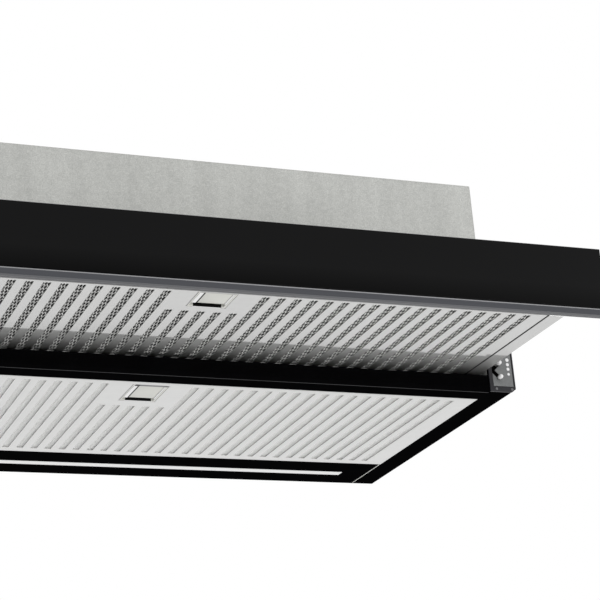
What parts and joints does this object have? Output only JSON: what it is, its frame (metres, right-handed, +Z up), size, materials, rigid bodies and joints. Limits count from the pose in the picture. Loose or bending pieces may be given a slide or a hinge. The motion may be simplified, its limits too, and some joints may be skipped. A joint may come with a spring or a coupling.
{
  "type": "under cabinet range hood",
  "caption": "Telescopic under cabinet cooker hood: steel housing, black glass front drawer, two slotted grease filters, light strip, slider controls and a round duct spigot.",
  "frame": {"origin": "axis of the round duct spigot at the top face of the steel housing", "axes": "+X to the right of a person in front of the hood, +Y to the wall, +Z up along the duct"},
  "size_m": [0.604, 0.413, 0.216],
  "materials": {
    "galvanised": "spangled zinc",
    "black_paint": "gloss",
    "black_glass": "polished",
    "trim_aluminium": "anodised dark grey",
    "filter_aluminium": "semi-gloss",
    "filter_mesh": "expanded mesh",
    "rail_aluminium": "satin",
    "latch_plastic": "satin",
    "bezel_plastic": "satin",
    "fascia": "satin grey",
    "switch_plastic": "matt",
    "knob": "gloss white",
    "lens": "milky",
    "board": "white circuit board",
    "blower_plastic": "moulded",
    "duct_plastic": "moulded",
    "motor_steel": "machined",
    "slide_steel": "zinc plated",
    "rubber": "matt"
  },
  "bodies": {
    "hood_body": {"housing_box": "galvanised", "partition_plate": "galvanised", "lower_body": "black_paint", "cheek_left": "galvanised", "cheek_right": "galvanised", "rear_light_panel": "black_paint", "light_lens": "lens", "led_board": "board", "led_driver": "switch_plastic", "control_bezel": "bezel_plastic", "control_fascia": "fascia", "switch_block": "switch_plastic", "microswitch": "switch_plastic", "duct_spigot": "duct_plastic", "damper_pin": "motor_steel", "blower_casing": "blower_plastic", "blower_cover": "blower_plastic", "inlet_ring": "blower_plastic", "motor": "motor_steel", "motor_screws": "slide_steel", "capacitor": "latch_plastic", "terminal_box": "latch_plastic", "terminal_box_lid": "latch_plastic", "cable_gland": "duct_plastic", "discharge_duct": "blower_plastic", "housing_screws": "slide_steel", "slide_outer_left": "slide_steel", "slide_outer_right": "slide_steel", "rear_filter_pins": "motor_steel"},
    "drawer": {"drawer_side_left": "rail_aluminium", "drawer_side_right": "rail_aluminium", "drawer_front_rail": "galvanised", "drawer_rear_rail": "galvanised", "drawer_top_cover": "galvanised", "glass_panel": "black_glass", "glass_tape": "rubber", "front_trim": "trim_aluminium", "trim_end_caps": "trim_aluminium", "drawer_buffers": "rubber", "slide_inner_left": "slide_steel", "slide_inner_right": "slide_steel", "front_filter_pins": "motor_steel"},
    "slide_middles": {"slide_middle_left": "slide_steel", "slide_middle_right": "slide_steel"},
    "front_filter": {"front_filter_tray": "filter_aluminium", "front_filter_mesh": "filter_mesh", "front_filter_retainer": "filter_aluminium", "front_latch_cup": "latch_plastic"},
    "front_latch": {"front_latch_slider": "latch_plastic"},
    "rear_filter": {"rear_filter_tray": "filter_aluminium", "rear_filter_mesh": "filter_mesh", "rear_filter_retainer": "filter_aluminium", "rear_latch_cup": "latch_plastic"},
    "rear_latch": {"rear_latch_slider": "latch_plastic"},
    "impeller": {"impeller": "blower_plastic", "motor_shaft": "motor_steel"},
    "damper_front": {"damper_flap_front": "duct_plastic"},
    "damper_rear": {"damper_flap_rear": "duct_plastic"},
    "fan_knob": {"fan_switch_knob": "knob"},
    "light_knob": {"light_switch_knob": "knob"}
  },
  "joints": [
    {"name": "drawer_slide", "type": "slide", "parent": "hood_body", "child": "drawer", "axis": [0, 1, 0], "range_m": [0, 0.122]},
    {"name": "middle_slide", "type": "slide", "parent": "hood_body", "child": "slide_middles", "axis": [0, 1, 0], "range_m": [0, 0.061]},
    {"name": "front_filter_swing", "type": "hinge", "parent": "drawer", "child": "front_filter", "pos_m": [0, -0.1453, -0.1643], "axis": [-1, 0, 0], "range_deg": [-80, 0]},
    {"name": "front_latch_slide", "type": "slide", "parent": "front_filter", "child": "front_latch", "axis": [0, 1, 0], "range_m": [0, 0.0035], "stiffness_N_per_m": 300, "springref_m": -0.002},
    {"name": "rear_filter_swing", "type": "hinge", "parent": "hood_body", "child": "rear_filter", "pos_m": [0, 0.0698, -0.1797], "axis": [-1, 0, 0], "range_deg": [-80, 0]},
    {"name": "rear_latch_slide", "type": "slide", "parent": "rear_filter", "child": "rear_latch", "axis": [0, 1, 0], "range_m": [0, 0.0035], "stiffness_N_per_m": 300, "springref_m": -0.002},
    {"name": "impeller_spin", "type": "hinge", "parent": "hood_body", "child": "impeller", "pos_m": [-0.165, 0.039, -0.074], "axis": [0, 0, 1], "continuous": true},
    {"name": "damper_front_swing", "type": "hinge", "parent": "hood_body", "child": "damper_front", "pos_m": [0, 0, 0.015], "axis": [-1, 0, 0], "range_deg": [0, 75]},
    {"name": "damper_rear_swing", "type": "hinge", "parent": "hood_body", "child": "damper_rear", "pos_m": [0, 0, 0.015], "axis": [1, 0, 0], "range_deg": [0, 75]},
    {"name": "fan_switch_slide", "type": "slide", "parent": "hood_body", "child": "fan_knob", "axis": [0.7071, 0, 0.7071], "range_m": [-0.0042, 0]},
    {"name": "light_switch_slide", "type": "slide", "parent": "hood_body", "child": "light_knob", "axis": [0.7071, 0, -0.7071], "range_m": [-0.0042, 0]}
  ],
  "couplings": [
    {"joint": "middle_slide", "follows": "drawer_slide", "ratio": 0.5}
  ]
}
